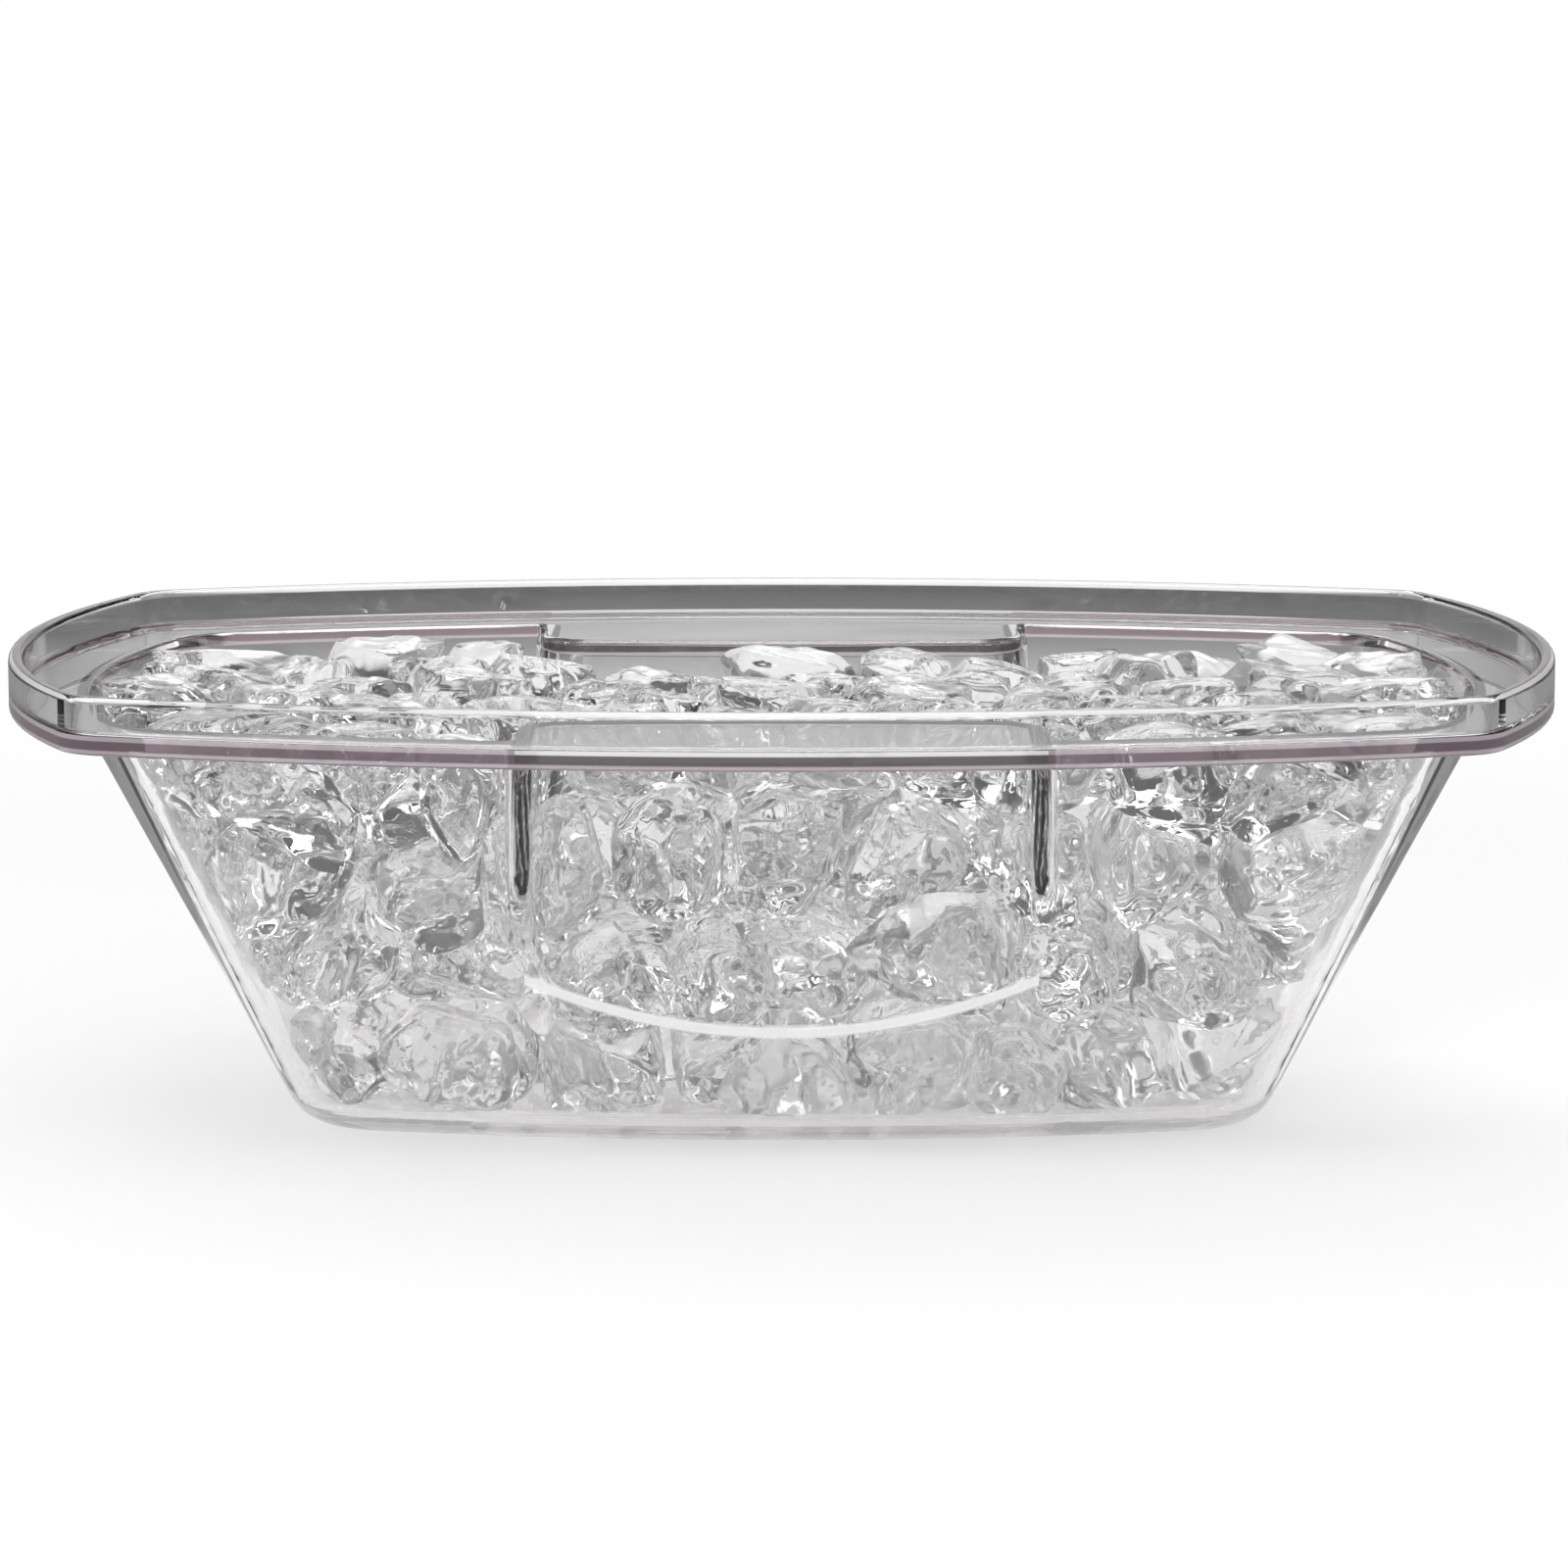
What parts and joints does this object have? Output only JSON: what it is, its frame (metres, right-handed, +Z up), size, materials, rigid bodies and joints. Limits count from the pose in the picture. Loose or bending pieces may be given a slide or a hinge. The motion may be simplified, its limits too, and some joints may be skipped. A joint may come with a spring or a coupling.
{
  "type": "serving bowl",
  "caption": "Clear plastic oblong serving bowl with flared walls, a flat shelf and lip round the mouth and a grip recess under the rim at front and back, full of clear ice",
  "frame": {"origin": "on the table, under the middle of the bowl", "axes": "+Z up, X along the length, the front grip faces -Y"},
  "size_m": [0.4, 0.262, 0.122],
  "materials": {
    "clear_plastic": "gloss",
    "ice": "gloss"
  },
  "bodies": {
    "bowl": {"bowl": "clear_plastic"},
    "ice_floor": {"ice_floor_left": "ice", "ice_floor_centre": "ice", "ice_floor_right": "ice"},
    "ice_lower": {"ice_lower_left": "ice", "ice_lower_centre": "ice", "ice_lower_right": "ice"},
    "ice_middle": {"ice_middle_left": "ice", "ice_middle_centre": "ice", "ice_middle_right": "ice"},
    "ice_upper": {"ice_upper_left": "ice", "ice_upper_centre": "ice", "ice_upper_right": "ice"}
  },
  "joints": [
    {"name": "ice_floor_lift", "type": "slide", "parent": "bowl", "child": "ice_floor", "axis": [0, 0, 1], "range_m": [0, 0.125]},
    {"name": "ice_lower_lift", "type": "slide", "parent": "ice_floor", "child": "ice_lower", "axis": [0, 0, 1], "range_m": [0, 0.11]},
    {"name": "ice_middle_lift", "type": "slide", "parent": "ice_lower", "child": "ice_middle", "axis": [0, 0, 1], "range_m": [0, 0.095]},
    {"name": "ice_upper_lift", "type": "slide", "parent": "ice_middle", "child": "ice_upper", "axis": [0, 0, 1], "range_m": [0, 0.06]}
  ]
}
